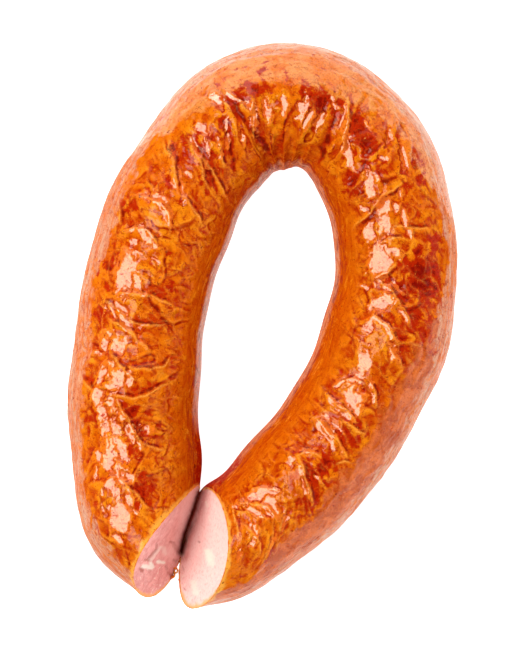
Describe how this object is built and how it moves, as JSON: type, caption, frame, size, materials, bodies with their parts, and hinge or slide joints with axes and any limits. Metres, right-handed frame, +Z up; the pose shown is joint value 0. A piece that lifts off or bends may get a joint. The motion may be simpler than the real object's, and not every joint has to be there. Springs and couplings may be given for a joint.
{
  "type": "smoked sausage ring",
  "caption": "Smoked sausage in a thin wrinkled casing, bent into an upright oval ring that lies flat, with both tips cut off aslant to show pale pink meat.",
  "frame": {"origin": "on the surface that the sausage lies on, under the middle of the ring's box", "axes": "+Z up, +Y along the ring's length towards its closed end, +X across the ring to the right as seen from above"},
  "size_m": [0.1246, 0.1806, 0.0402],
  "materials": {
    "smoked_casing": "thin, glossy, wrinkled smoked casing, amber with red-brown patches",
    "cut_meat": "moist, finely minced pale pink meat with small creamy pieces of fat"
  },
  "bodies": {
    "root": {"sausage": "smoked_casing"}
  },
  "joints": []
}
